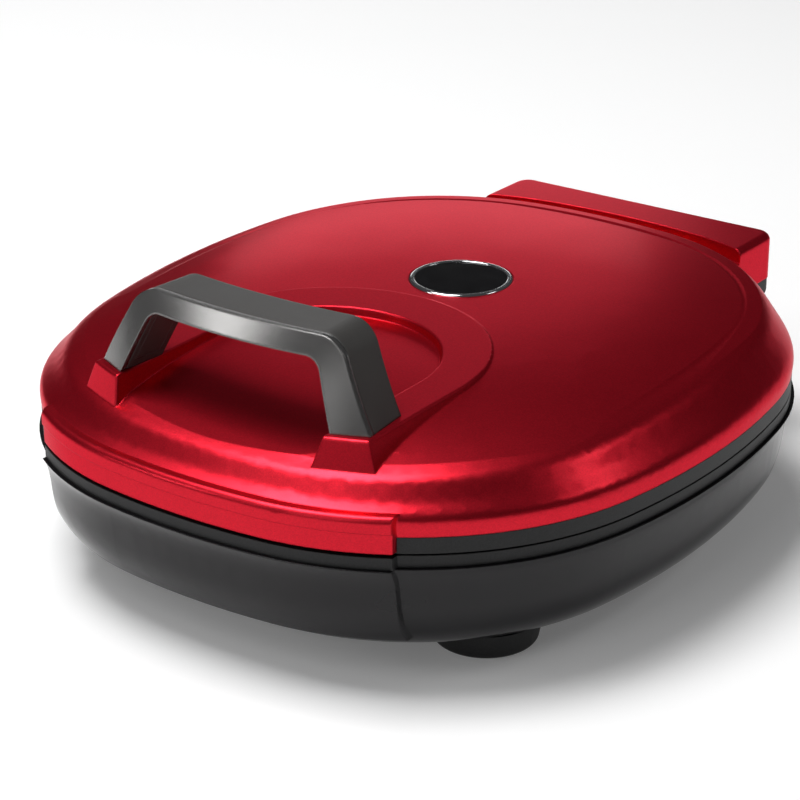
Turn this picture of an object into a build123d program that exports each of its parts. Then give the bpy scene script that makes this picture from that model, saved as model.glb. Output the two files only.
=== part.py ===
# Clamshell griddle: two heated cooking plates that close on each other. The lid is a red moulded
# cover with a bridge handle, hinged at the rear on a carrier that can rise, so that the lid stays
# level over thick food. The base is a glossy black bowl on four feet, with a mains inlet and two
# rocker switches in its rear wall.
# Millimetres, X right, Y to the rear, Z up. Each shape is drawn about the centre of the cooking
# plates. As it is written out, the whole model is moved along Y, which puts the origin on the
# table under the middle of the overall box.
from build123d import *
import os
from math import atan, atan2, cos, degrees, hypot, radians, sin, tan

os.makedirs("parts", exist_ok=True)

# Outline seen from above: four long arcs and four corner arcs, tangent to each other
half_width = 170.0
half_depth = 184.6
side_radius = 374.0
front_radius = 357.0
corner_radius = 139.0

# Stack of heights, from the table up
foot_height = 14.0
shell_height = 48.7
band_height = 6.1
parting_gap = 0.8
lid_ring_height = 7.8
floor_z = foot_height
band_z = floor_z + shell_height
parting_z = band_z + band_height
lid_ring_z = parting_z + parting_gap
lid_z = lid_ring_z + lid_ring_height

# Red lid shell
lid_wall = 2.6
lid_bulge = 0.4
side_height = 8.6
side_round = 10.0
crease_inset = 14.5
crease_height = 26.8
crease_round = 15.0
crease_rise = 20.0
lid_slope = 0.033
crown_edge_inset = 15.5
crown_edge_height = 28.0
crown_height = 38.0
crown_overlap = 12.0
crown_squareness = 0.427
crown_columns = 14
crown_margin = 8.0
crown_tolerance = 0.01
crown_slope = 0.008
crown_drop = 0.3

# Front section that stands proud on the lid lip, the band and the base shell
front_half_width = 102.0
front_proud = 3.3
front_low = 9.5
front_end_radius = 2.5
lip_drop = 6.8
lip_clearance = 0.4
bead_height = 7.8
bead_rise = 2.8
bead_proud = 0.9
bead_radius = 3.4

# Saddle: the horseshoe ridge that carries the handle
saddle_half_width = 79.4
saddle_arch_y = -79.0
saddle_inner_half_width = 59.4
saddle_inner_arch_y = -86.0
saddle_rise = 0.4
saddle_slope = 0.0173
saddle_inner_draft = 12.0
saddle_outer_draft = 20.0
saddle_edge = 1.4
saddle_inner_edge = 0.9
saddle_depth = 30.0
saddle_front_margin = 1.0
saddle_front_lean = 8.6
recess_height = 33.4
recess_fall = 16.0
recess_power = 3
recess_steps = 8

# Bridge handle
handle_foot_outer = 78.2
handle_foot_inner = 61.0
handle_height = 39.4
handle_top_half = 58.0
handle_top_inner = 49.0
handle_bar = 9.5
handle_toe_in = 2.4
handle_sag = 10.0
handle_root = 6.0
handle_outer_bend = 17.0
handle_inner_bend = 9.0
handle_front_radius = 194.5
handle_front_y = -165.1
handle_top_radius = 390.0
handle_centre_y = handle_front_y + handle_front_radius
handle_depth = 27.5
handle_lean = 19.9
handle_trim = 3.2
handle_seam = 0.4
handle_seam_depth = 1.2
handle_underside = 3.0
handle_underside_margin = 4.0
handle_screw_x = 67.5
handle_screw_y = -139.0
handle_screw_grip = 11.0
lid_boss_radius = 6.0
lid_boss_drop = 6.0

# Badge on the crown
badge_y = 33.3
badge_radius = 26.3
badge_ring_width = 3.0
badge_depth = 2.4
badge_proud = 0.6
badge_fit = 0.15
badge_outer_edge = 1.2
badge_inner_edge = 0.6

# Hinge: shaft across the rear, on two posts that slide in the base
hinge_y = 199.0
hinge_rise = 19.2
hinge_z = parting_z + hinge_rise
shaft_diameter = 6.0
shaft_half_length = 65.0
post_x = 51.0
post_width = 14.0
post_depth = 12.0
post_eye_radius = 7.5
float_travel = 18.0
post_grip = 14.0
slide_fit = 0.1
deck_fit = 0.3
running_fit = 0.05
guide_wall = 2.4
guide_floor = 2.0
guide_flange = 4.0
guide_flange_x = 11.0
guide_flange_y = 3.2
guide_screw_offset = 13.5
ear_thickness = 2.0
ear_gap = 1.0
ear_radius = 7.0
bracket_thickness = 2.0
bracket_lap = 3.0
clip_thickness = 1.2
clip_radius = 5.5

# Hinge cover, the box at the rear of the lid, and the housing under it
cover_half_width = 82.0
cover_reach = 16.0
cover_rise = 17.5
cover_drop = 7.5
cover_roof = 4.0
cover_corner = 9.0
cover_edge = 4.0
cover_flare = 3.0
cover_groove = 3.5
groove_depth = 7.5
post_slot_margin = 1.5
cap_radius = 17.6
cap_width = 7.0
cap_gap = 0.2
cap_inset = 0.4
cap_tab_half = 6.0
cap_tab_lap = 3.0
cap_tab_rise = 5.0
housing_reach = 13.0
housing_floor = 8.0
housing_start_y = 114.0
housing_edge = 4.0
housing_flare = 12.0

# Base shell
shell_wall = 2.6
shell_bulge = 1.8
shell_side_inset = 2.6
shell_side_height = 30.0
shell_low_inset = 7.0
shell_low_height = 13.5
shell_turn_inset = 12.5
shell_turn_height = 6.4
shell_bottom_inset = 24.0
shell_turn_share = 0.8
shell_low_share = 0.3
vent_rings = (36.0, 52.0)
vent_count = 12
vent_width = 4.0
vent_length = 13.0

# Cooking plates
plate_thickness = 4.0
plate_wall = 3.2
flange_thickness = 3.0
ledge_drop = 3.6
ledge_inset = 13.5
ledge_width = 2.6
plate_fit = 0.4
dish_mouth_inset = 20.0
dish_floor_inset = 33.0
dish_depth = 25.0
dish_corner = 6.0
upper_mouth_inset = 21.0
upper_face_inset = 25.5
upper_face_drop = 0.4
upper_face_edge = 2.0

# Heating rods and what is fixed to the plates
heater_diameter = 6.6
heater_inset = 66.0
heater_gap = 0.3
heater_opening = 34.0
terminal_length = 14.0
terminal_radius = 3.4
tab_width = 6.3
tab_thickness = 0.8
pin_length = 2.6
boss_radius = 6.0
boss_lap = 0.5
boss_x = 62.0
boss_y = 66.0
upper_boss_height = 12.0
lower_boss_height = 10.5
reflector_thickness = 0.8
reflector_inset = 44.0
reflector_rim = 6.0
thermostat_radius = 8.5
thermostat_height = 7.0
thermostat_y = 70.0
fuse_radius = 2.6
fuse_lead = 8.0
fuse_lead_radius = 0.6
fuse_length = 16.0
fuse_x = 26.0

lid_opening = 100.0

# Screws
screw_diameter = 4.0
screw_head_radius = 3.9
screw_head_height = 2.2
screw_fit = 0.1
screw_clearance = 0.35
screw_socket = 1.1
screw_slot_length = 4.8
screw_slot_width = 1.0
screw_spare = 0.5
cut_reach = 20.0
edge_tolerance = 0.05

# Feet and their pads
foot_x = 103.0
foot_y = 94.0
foot_top_radius = 27.0
foot_bottom_radius = 24.5
foot_edge = 3.0
foot_roof = 4.0
pad_radius = 16.0
pad_thickness = 3.0
pad_proud = 1.0
pad_fit = 0.2
pad_edge = 0.8
plate_screw_seat = 4.0

# Screws of the lid ring, of the hinge bracket and of the hinge guides
ring_screw_inset = 9.0
ring_screw_angles = (28, 62, 118, 152, 208, 242, 298, 332)
ring_boss_height = 24.0
ring_boss_radius = 4.6
ring_screw_grip = 10.0
bracket_screw_x = (-30.0, -10.0, 10.0, 30.0)
bracket_screw_y = 203.0
bracket_screw_grip = 2.0
guide_screw_grip = 4.5

# Mains inlet and rocker switches in the rear wall
inlet_width = 24.5
inlet_height = 17.0
inlet_depth = 15.0
inlet_wall = 1.6
inlet_flange = 2.6
inlet_flange_thickness = 2.0
inlet_corner = 5.0
inlet_z = 43.0
blade_width = 2.0
blade_height = 4.0
blade_length = 12.0
blade_pitch = 7.0
blade_root = 6.0
blade_side_drop = 1.5
blade_centre_rise = 2.5
panel_fit = 0.2
switch_x = 29.5
switch_width = 9.6
switch_height = 16.0
switch_wall = 1.5
switch_depth = 12.0
switch_flange = 1.6
switch_flange_thickness = 1.5
switch_gap = 0.4
switch_end_gap = 1.2
switch_back = 3.2
switch_hollow = 1.2
switch_pivot_grip = 0.7
switch_tilt = 8.0
switch_pivot_radius = 1.5
switch_pivot_depth = 5.0
switch_proud = 1.9

# Where the outline's arcs are centred and where they meet


def arc_layout(inset):
    "centre, radius, start and end angle of each arc of the outline moved inward by inset"
    side = (half_width - side_radius, 0.0)
    front = (0.0, half_depth - front_radius)
    span = hypot(front[0] - side[0], front[1] - side[1])
    to_side = side_radius - corner_radius
    to_front = front_radius - corner_radius
    along = (to_side ** 2 - to_front ** 2 + span ** 2) / (2 * span)
    across = (to_side ** 2 - along ** 2) ** 0.5
    ux = (front[0] - side[0]) / span
    uy = (front[1] - side[1]) / span
    corner = (side[0] + ux * along - uy * across, side[1] + uy * along + ux * across)
    if corner[0] + corner[1] < 0:
        corner = (side[0] + ux * along + uy * across, side[1] + uy * along - ux * across)
    turn_side = degrees(atan2(corner[1] - side[1], corner[0] - side[0]))
    turn_front = degrees(atan2(corner[1] - front[1], corner[0] - front[0]))
    return [
        (side, side_radius - inset, -turn_side, turn_side),
        (corner, corner_radius - inset, turn_side, turn_front),
        (front, front_radius - inset, turn_front, 180 - turn_front),
        ((-corner[0], corner[1]), corner_radius - inset, 180 - turn_front, 180 - turn_side),
        ((-side[0], 0.0), side_radius - inset, 180 - turn_side, 180 + turn_side),
        ((-corner[0], -corner[1]), corner_radius - inset, 180 + turn_side, 180 + turn_front),
        ((0.0, -front[1]), front_radius - inset, 180 + turn_front, 360 - turn_front),
        ((corner[0], -corner[1]), corner_radius - inset, 360 - turn_front, 360 - turn_side),
    ]


def on_arc(arc, angle):
    "point of an arc at an angle in degrees"
    centre, radius = arc[0], arc[1]
    return (centre[0] + radius * cos(radians(angle)), centre[1] + radius * sin(radians(angle)))


def outline(inset, z, slope=0.0):
    "face bounded by the outline moved inward by inset, at height z, rising by slope to the rear"
    edges = []
    for arc in arc_layout(inset):
        start, end = arc[2], arc[3]
        points = [on_arc(arc, angle) for angle in (start, (start + end) / 2, end)]
        edges.append(ThreePointArc(*points))
    face = make_face(Plane.XY * Wire(edges))
    return Pos(0, 0, z) * Rot(degrees(atan(slope)), 0, 0) * face


def rim_point(inset, angle):
    "point of the outline moved inward by inset, seen from the centre at an angle in degrees"
    far = 2 * half_depth
    ray = Line((0, 0), (far * cos(radians(angle)), far * sin(radians(angle))))
    for arc in arc_layout(inset):
        points = [on_arc(arc, a) for a in (arc[2], (arc[2] + arc[3]) / 2, arc[3])]
        hits = ray.intersect(ThreePointArc(*points))
        if hits:
            hit = hits[0] if isinstance(hits, (list, ShapeList)) else hits.vertices()[0]
            return (hit.X, hit.Y)
    return None


def prism(inset, low, high):
    "solid of the outline moved inward by inset, between two heights"
    return extrude(outline(inset, low), amount=high - low)


def lofted(sections):
    "smooth solid through outlines given as inset, height and slope"
    return loft([outline(*section) for section in sections])


def rod(x, y, low, high, radius):
    "upright cylinder"
    return Pos(x, y, (low + high) / 2) * Cylinder(radius, high - low)


def block(x_range, y_range, z_range):
    "box between given limits"
    size = [r[1] - r[0] for r in (x_range, y_range, z_range)]
    middle = [(r[0] + r[1]) / 2 for r in (x_range, y_range, z_range)]
    return Pos(*middle) * Box(*size)


def cross_rod(x_low, x_high, y, z, radius):
    "cylinder along X"
    return Pos((x_low + x_high) / 2, y, z) * Rot(0, 90, 0) * Cylinder(radius, x_high - x_low)


def screw(x, y, seat, tip, radius=screw_diameter / 2):
    "upright screw: its head rests on the seat and its shank runs to the tip, up or down"
    way = 1 if tip > seat else -1
    head_end = seat - way * screw_head_height
    head = rod(x, y, min(seat, head_end), max(seat, head_end), screw_head_radius)
    shank = rod(x, y, min(seat, tip), max(seat, tip), radius)
    slot_end = head_end + way * screw_socket
    slot_z = sorted((head_end, slot_end))
    long_half = screw_slot_length / 2
    short_half = screw_slot_width / 2
    recess = block((x - long_half, x + long_half), (y - short_half, y + short_half), slot_z)
    cross = block((x - short_half, x + short_half), (y - long_half, y + long_half), slot_z)
    return head + shank - recess - cross


# Red lid shell


def crown_z(x, y, drop=0.0):
    "height of the crown: a flat sloping top that falls to the sloping crease of the shoulder"
    u = x / (half_width - crown_edge_inset)
    v = y / (half_depth - crown_edge_inset)
    spread = u * u + v * v - crown_squareness * u * u * v * v
    edge_z = lid_z + crown_edge_height + lid_slope * y
    top_z = lid_z + crown_height + crown_slope * y
    return top_z - (top_z - edge_z) * spread ** 2 - crown_drop - drop


def under_crown(drop=0.0):
    "everything below the crown, lowered by drop"
    columns = crown_columns
    span_x = half_width + crown_margin
    span_y = half_depth + crown_margin
    grid = []
    for i in range(columns + 1):
        x = span_x * (2 * i / columns - 1)
        row = []
        for j in range(columns + 1):
            y = span_y * (2 * j / columns - 1)
            row.append((x, y, crown_z(x, y, drop)))
        grid.append(row)
    surface = Face.make_surface_from_array_of_points(grid, tol=crown_tolerance)
    return extrude(surface, amount=lid_z + crown_height, dir=(0, 0, -1))


def round_turn(corner, start, end, radius):
    "three points of the arc that rounds a corner of a profile, between two directions"
    inset, height = corner
    reach = radius * tan((start - end) / 2)
    centre_inset = inset - reach * cos(start) + radius * sin(start)
    centre_height = height - reach * sin(start) - radius * cos(start)
    angles = (start, (start + end) / 2, end)
    return [(centre_inset - radius * sin(a), centre_height + radius * cos(a)) for a in angles]


def lid_profile():
    "side and shoulder of the lid, as inset and height above its lower edge"
    shoulder = atan2(crease_height - side_height, crease_inset + lid_bulge)
    top = radians(crease_rise)
    points = [(0.0, 0.0)]
    points += round_turn((-lid_bulge, side_height), radians(90), shoulder, side_round)
    points += round_turn((crease_inset, crease_height), shoulder, top, crease_round)
    inset, height = points[-1]
    return points + [(inset + crown_overlap * cos(top), height + crown_overlap * sin(top))]


def lid_form(inset=0.0, drop=0.0):
    "closed form of the lid between its lower edge and the crown, moved inward and lowered"
    sections = []
    for point_inset, height in lid_profile():
        share = max(height - side_height, 0) / (crease_height - side_height)
        sections.append((point_inset + inset, lid_z + height - drop * share, lid_slope * share))
    top = extrude(outline(*sections[-1]), amount=cut_reach, dir=(0, 0, 1))
    return (lofted(sections) + top) & under_crown(drop)


def recess_floor(drop=0.0):
    "everything above the sunk floor between the arms of the saddle"
    start_y = saddle_inner_arch_y + saddle_inner_half_width
    run = start_y + half_depth
    points = []
    steps = recess_steps
    for i in range(steps + 1):
        y = start_y - (run + cut_reach) * i / steps
        z = lid_z + recess_height - recess_fall * ((start_y - y) / run) ** recess_power - drop
        points.append((y, z))
    end_y = points[-1][0]
    curve = Spline(*points)
    high = lid_z + crown_height + cut_reach
    rear_y = start_y + cut_reach
    sides = Polyline((end_y, points[-1][1]), (end_y, high), (rear_y, high),
                     (rear_y, points[0][1]), (start_y, points[0][1]))
    face = make_face(Plane.YZ * Wire([*curve.edges(), *sides.edges()]))
    return extrude(face, amount=half_width, both=True)


def recess(grow=0.0, drop=0.0):
    "space sunk into the crown between the arms of the saddle"
    half = saddle_inner_half_width + grow
    face = saddle_plane() * saddle_arch(half, saddle_inner_arch_y)
    space = extrude(face, amount=-saddle_depth, taper=saddle_inner_draft)
    space += extrude(face, amount=cut_reach)
    return space & recess_floor(drop)


def saddle_plane():
    "the flat top of the saddle, on which the handle stands"
    middle_z = crown_z(0, 0) + saddle_rise
    return Plane(origin=(0, 0, middle_z), x_dir=(1, 0, 0), z_dir=(0, -saddle_slope, 1))


def saddle_z(y):
    "height of the saddle's flat top"
    return crown_z(0, 0) + saddle_rise + saddle_slope * y


handle_z = saddle_z(handle_screw_y)


def saddle_arch(half, centre_y):
    "arch with straight legs that run to the front"
    legs = Pos(0, centre_y - half_depth / 2) * Rectangle(2 * half, half_depth)
    return Pos(0, centre_y) * Circle(half) + legs


def saddle():
    "horseshoe ridge under the handle, before it is joined to the lid"
    outer_face = saddle_plane() * saddle_arch(saddle_half_width, saddle_arch_y)
    inner_face = saddle_plane() * saddle_arch(saddle_inner_half_width, saddle_inner_arch_y)
    outer = extrude(outer_face, amount=-saddle_depth, taper=-saddle_outer_draft)
    inner = extrude(inner_face, amount=-saddle_depth, taper=saddle_inner_draft)
    top_radius = handle_front_radius + saddle_front_margin
    top = saddle_z(handle_centre_y) + 1
    low_radius = top_radius + saddle_front_lean
    front = Cone(low_radius, top_radius, saddle_depth)
    ridge = (outer - inner) & (Pos(0, handle_centre_y, top - saddle_depth / 2) * front)
    top_face = ridge.faces().sort_by(Axis.Z)[-1]
    return fillet([e for e in top_face.edges() if not on_inner_arch(e)], saddle_edge)


def on_inner_arch(edge):
    "whether an edge belongs to the inside of the horseshoe"
    middle = edge @ 0.5
    y = max(middle.Y - saddle_inner_arch_y, 0)
    away = abs((middle.X ** 2 + y ** 2) ** 0.5 - saddle_inner_half_width)
    return away < 0.5 and edge.length > saddle_inner_half_width / 2


def front_block(low, high, half=front_half_width):
    "box that keeps the front section of whatever it is intersected with"
    box = block((-half, half), (-half_depth - cut_reach, -half_depth / 2), (low, high))
    return fillet(box.edges().filter_by(Axis.Z).sort_by(Axis.Y)[:2], front_end_radius)


def lid_lip():
    "front lip of the lid: an apron that hangs over the ring, under a rounded bead"
    low = lid_z - lip_drop
    bead_z = lid_z + bead_rise
    apron = prism(-front_proud, low, bead_z + 1)
    bead = prism(-front_proud - bead_proud, bead_z, bead_z + bead_height)
    bead = fillet(bead.faces().sort_by(Axis.Z)[-1].edges(), bead_radius)
    lip = (apron + bead) & front_block(low, bead_z + bead_height)
    core = prism(lid_wall, low, bead_z + bead_height)
    over_ring = prism(-lip_clearance, low, lid_z)
    return lip - core - over_ring


def cover_region(grow=0.0):
    "plan of the hinge cover together with the lid, with concave flares where they meet"
    reach = hinge_y + cover_reach - grow
    box = Pos(0, reach / 2) * Rectangle(2 * (cover_half_width - grow), reach)
    box = fillet(box.vertices().sort_by(Axis.Y)[-2:], cover_corner - min(grow, cover_corner / 2))
    plan = outline(grow, 0) + box
    inside = [v for v in plan.vertices()
              if v.Y > 0 and abs(abs(v.X) - cover_half_width + grow) < edge_tolerance]
    notches = [v for v in inside if v.Y < half_depth]
    return fillet(notches, cover_flare)


def post_slot(side, low, high, margin=0.0):
    "space of one hinge post between two heights, with a margin all round"
    half_x = post_width / 2 + margin
    half_y = post_depth / 2 + margin
    x = side * post_x
    return block((x - half_x, x + half_x), (hinge_y - half_y, hinge_y + half_y), (low, high))


def hinge_cover():
    "box at the rear of the lid that holds the hinge, open below and notched for the posts"
    low = hinge_z - cover_drop
    top = hinge_z + cover_rise
    groove_z = top - groove_depth
    outer = extrude(Pos(0, 0, low) * cover_region(), amount=top - low)
    outer = fillet(outer.faces().sort_by(Axis.Z)[-1].edges().filter_by(
        lambda e: e.center().Y > half_depth), cover_edge)
    outer -= prism(0, low, top)
    flare_out = cover_half_width + 2 * cover_flare
    for x_range in ((-flare_out, -cover_half_width), (cover_half_width, flare_out)):
        outer -= block(x_range, (half_depth / 2, hinge_y), (lid_z + side_height, top))
    hollow_low = low - 1
    hollow = extrude(Pos(0, 0, hollow_low) * cover_region(lid_wall), amount=top - cover_roof - hollow_low)
    front_wall = prism(-cover_groove - lid_wall, low - 2, top + 1)
    groove = prism(-cover_groove, groove_z, top + 1)
    ledge = prism(0, low, groove_z) - prism(crease_inset, low - 1, top)
    ledge &= block((-cover_half_width, cover_half_width), (half_depth / 2, hinge_y), (low - 1, top))
    cover = outer - (hollow - front_wall) - groove + ledge
    half_y = post_depth / 2
    swing = radians(lid_opening - 90)
    slot_top = cover_reach * tan(swing) + half_y / cos(swing) + post_slot_margin
    for side in (-1, 1):
        half_x = post_width / 2 + post_slot_margin
        x = side * post_x
        cover -= block((x - half_x, x + half_x), (hinge_y, hinge_y + cover_reach + 1),
                       (low - 1, hinge_z + slot_top))
    return cover


def handle_band(front, back, z_low, z_high):
    "slab between two leaning curved faces, set back from the handle's front face"

    def section(z, share):
        radius = handle_front_radius + share * (handle_top_radius - handle_front_radius)
        front_y = handle_centre_y - handle_front_radius + share * handle_lean
        half = handle_foot_outer + cut_reach
        sag = radius - (radius ** 2 - half ** 2) ** 0.5
        start, end = front_y + front, front_y + back
        edges = [
            ThreePointArc((-half, start + sag), (0, start), (half, start + sag)),
            Line((half, start + sag), (half, end + sag)),
            ThreePointArc((half, end + sag), (0, end), (-half, end + sag)),
            Line((-half, end + sag), (-half, start + sag)),
        ]
        return Pos(0, 0, z) * make_face(Wire(edges))

    low_share = (z_low - handle_z) / handle_height
    high_share = (z_high - handle_z) / handle_height
    return loft([section(z_low, low_share), section(z_high, high_share)], ruled=True)


def handle_arch(grow, bend, foot, top_half, top_z):
    "bridge outline in front view, run through the depth of the handle and toed in to the rear"
    low = handle_z - handle_root
    lean = (foot - top_half) / (top_z - handle_z)
    front_y = handle_centre_y - handle_front_radius

    def section(y, toe):
        points = [
            (-foot - grow - handle_root * lean + toe, low),
            (-top_half - grow + toe, top_z + grow),
            (top_half + grow - toe, top_z + grow),
            (foot + grow + handle_root * lean - toe, low),
        ]
        face = make_face(Plane.XZ * Polyline(*points, close=True))
        face = fillet(face.vertices().sort_by(Axis.Z)[-2:], bend)
        return Pos(0, y, 0) * face

    toe_slope = handle_toe_in / handle_depth
    near = -cut_reach
    far = handle_depth + handle_lean + 2 * cut_reach
    return loft([section(front_y + y, toe_slope * (y - handle_sag)) for y in (near, far)], ruled=True)


def handle_form(shrink=0.0):
    "whole handle, or a smaller one inside it, standing on the saddle"
    top = handle_z + handle_height
    outer = handle_arch(-shrink, handle_outer_bend, handle_foot_outer, handle_top_half, top)
    gap = handle_arch(shrink, handle_inner_bend, handle_foot_inner, handle_top_inner, top - handle_bar)
    depth = handle_depth - shrink
    band = handle_band(shrink, depth, handle_z - handle_root, top + 2)
    return (outer - gap) & band & above_saddle()


def above_saddle():
    "everything above the saddle's flat top"
    size = 2 * half_depth
    return saddle_plane() * Pos(0, 0, size / 2) * Box(size, size, size)


def handle_parts():
    "front trim, main body and underside cover of the handle"
    whole = handle_form()
    low, high = handle_z - handle_root - 1, handle_z + handle_height + 2
    trim = whole & handle_band(-handle_root, handle_trim, low, high)
    body = whole & handle_band(handle_trim + handle_seam, handle_depth + handle_root, low, high)
    joint = handle_band(handle_trim, handle_trim + handle_seam, low, high)
    body += handle_form(handle_seam_depth) & joint
    top = handle_z + handle_height
    gap_top = top - handle_bar
    strip = handle_arch(handle_underside, handle_inner_bend, handle_foot_inner, handle_top_inner, gap_top)
    strip -= handle_arch(0, handle_inner_bend, handle_foot_inner, handle_top_inner, gap_top)
    margin = handle_underside_margin
    strip &= handle_band(handle_trim + margin, handle_depth - margin, low, high)
    strip &= block((-half_width, half_width), (-half_depth, 0), (handle_z + margin, high))
    underside = strip & whole
    body -= strip
    for side in (-1, 1):
        seat = saddle_z(handle_screw_y)
        body -= rod(side * handle_screw_x, handle_screw_y, seat - handle_root,
                    seat + handle_screw_grip + screw_spare, screw_diameter / 2 + screw_fit)
    return trim, body, underside


def handle_boss_z():
    "height of the flat seats for the handle's screws inside the lid"
    return crown_z(handle_screw_x, handle_screw_y, lid_wall) - lid_boss_drop


def lid_shell():
    "red moulded lid with its saddle, front lip, hinge cover, bosses and badge pocket"
    solid = lid_form() + saddle() - recess()
    inner_edges = [e for e in solid.edges()
                   if on_inner_arch(e) and abs((e @ 0.5).Z - saddle_z((e @ 0.5).Y)) < edge_tolerance]
    solid = fillet(inner_edges, saddle_inner_edge)
    solid += lid_lip() + hinge_cover()
    solid -= lid_form(lid_wall, lid_wall) - recess(lid_wall, lid_wall)
    inside = lid_form(lid_wall / 2, lid_wall / 2)
    for side in (-1, 1):
        x = side * handle_screw_x
        boss = rod(x, handle_screw_y, handle_boss_z(), handle_z - lid_wall, lid_boss_radius)
        solid += boss & inside
        solid -= rod(x, handle_screw_y, handle_boss_z() - 1, handle_z + 2,
                     screw_diameter / 2 + screw_clearance)
    for angle in ring_screw_angles:
        x, y = rim_point(ring_screw_inset, angle)
        solid += rod(x, y, lid_z, lid_z + ring_boss_height, ring_boss_radius) & inside
        solid -= rod(x, y, lid_z - 1, lid_z + ring_screw_grip + screw_spare, screw_diameter / 2 + screw_fit)
    pocket_z = badge_seat_z()
    solid -= rod(0, badge_y, pocket_z, pocket_z + cut_reach, badge_radius + badge_fit)
    roof_z = hinge_z + cover_rise - cover_roof
    for x in bracket_screw_x:
        solid -= rod(x, bracket_screw_y, roof_z - 1, roof_z + bracket_screw_grip + screw_spare,
                     screw_diameter / 2 + screw_fit)
    return solid


def badge_seat_z():
    "floor of the badge pocket"
    return crown_z(badge_radius, badge_y) - badge_depth


def badge_parts():
    "bright ring of the badge and its dark disc, which is bare"
    seat = badge_seat_z()
    height = badge_depth + badge_proud
    inner = badge_radius - badge_ring_width
    ring = rod(0, badge_y, seat, seat + height, badge_radius)
    ring = fillet(ring.faces().sort_by(Axis.Z)[-1].edges(), badge_outer_edge)
    ring -= rod(0, badge_y, seat - 1, seat + height + 1, inner)
    ring = fillet(ring.faces().filter_by(Axis.Z).sort_by(Axis.Z)[-1].edges().sort_by(
        lambda e: e.radius)[:1], badge_inner_edge)
    disc = rod(0, badge_y, seat, seat + badge_depth, inner - badge_fit)
    return ring, disc


def lid_ring():
    "black ring that closes the lid from below and carries the upper plate"
    ring = prism(0, lid_ring_z, lid_z) - prism(ledge_inset + ledge_width, lid_ring_z - 1, lid_z + 1)
    ring -= prism(ledge_inset - plate_fit, lid_z - ledge_drop, lid_z + 1)
    for angle in ring_screw_angles:
        x, y = rim_point(ring_screw_inset, angle)
        ring -= rod(x, y, lid_ring_z - 1, lid_z + 1, screw_diameter / 2 + screw_clearance)
        ring -= rod(x, y, lid_ring_z - 1, lid_ring_z + screw_head_height + screw_spare,
                    screw_head_radius + screw_clearance)
    return ring


# Cooking plates, heating rods and what is fixed to them


def lower_plate():
    "dish of the base, with its flange, bosses and screw holes"
    flange_z = parting_z - ledge_drop
    top = flange_z + flange_thickness
    inner_floor = top - dish_depth
    outer_floor = inner_floor - plate_thickness
    body = loft([outline(dish_floor_inset - plate_wall, outer_floor),
                 outline(dish_mouth_inset - plate_wall, flange_z)], ruled=True)
    body = fillet(body.faces().sort_by(Axis.Z)[0].edges(), dish_corner + plate_wall)
    body += prism(ledge_inset, flange_z, top)
    hollow = loft([outline(dish_floor_inset, inner_floor), outline(dish_mouth_inset, top)], ruled=True)
    hollow = fillet(hollow.faces().sort_by(Axis.Z)[0].edges(), dish_corner)
    body -= hollow
    for x, y in boss_places():
        body += rod(x, y, outer_floor - lower_boss_height, outer_floor + boss_lap, boss_radius)
        body -= rod(x, y, outer_floor - lower_boss_height - 1, outer_floor - boss_lap,
                    screw_diameter / 2 + screw_fit)
    return body


def upper_plate():
    "shallow tray of the lid, cooking face down, with its flange and bosses"
    flange_z = lid_z - ledge_drop
    top = flange_z + flange_thickness
    face_z = lid_ring_z - upper_face_drop
    body = loft([outline(upper_face_inset, face_z), outline(upper_mouth_inset, flange_z)], ruled=True)
    body = fillet(body.faces().sort_by(Axis.Z)[0].edges(), upper_face_edge)
    body += prism(ledge_inset, flange_z, top)
    body -= prism(upper_face_inset + plate_wall, face_z + plate_thickness, top + 1)
    for x, y in boss_places():
        low = face_z + plate_thickness
        body += rod(x, y, low - boss_lap, low + upper_boss_height, boss_radius)
        body -= rod(x, y, low + boss_lap, low + upper_boss_height + 1, screw_diameter / 2 + screw_fit)
    return body


def boss_places():
    "centres of the four bosses on the back of each plate"
    return [(x, y) for x in (-boss_x, boss_x) for y in (-boss_y, boss_y)]


def heater(z):
    "heating rod bent to the outline of the plate, open at the rear"
    arcs = arc_layout(heater_inset)
    half_gap = degrees(heater_opening / 2 / arcs[2][1])
    spans = []
    for index in (2, 3, 4, 5, 6, 7, 0, 1, 2):
        arc = arcs[index]
        start, end = arc[2], arc[3]
        if len(spans) == 0:
            start = 90 + half_gap
        if len(spans) == 8:
            end = 90 - half_gap
        points = [on_arc(arc, angle) for angle in (start, (start + end) / 2, end)]
        spans.append(ThreePointArc(*points))
    path = Pos(0, 0, z) * Wire(spans)
    start_plane = Plane(origin=path @ 0, z_dir=path % 0)
    return sweep(start_plane * Circle(heater_diameter / 2), path=path)


def heater_end(side):
    "centre of a heating rod's end face"
    arc = arc_layout(heater_inset)[2]
    half_gap = degrees(heater_opening / 2 / arc[1])
    return on_arc(arc, 90 - side * half_gap)


def heater_terminals(z, way):
    "ceramic sleeve and flat tab at each end of a heating rod, the tab away from the plate"
    sleeves = None
    for side in (-1, 1):
        x, y = heater_end(side)
        x -= side * heater_gap
        far = x - side * terminal_length
        sleeve = cross_rod(min(x, far), max(x, far), y, z, terminal_radius)
        tab_x = sorted((far, far + side * tab_width))
        tab_z = sorted((z, z + way * (terminal_radius + pin_length)))
        sleeve += block(tab_x, (y - tab_thickness / 2, y + tab_thickness / 2), tab_z)
        sleeves = sleeve if sleeves is None else sleeves + sleeve
    return sleeves


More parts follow.
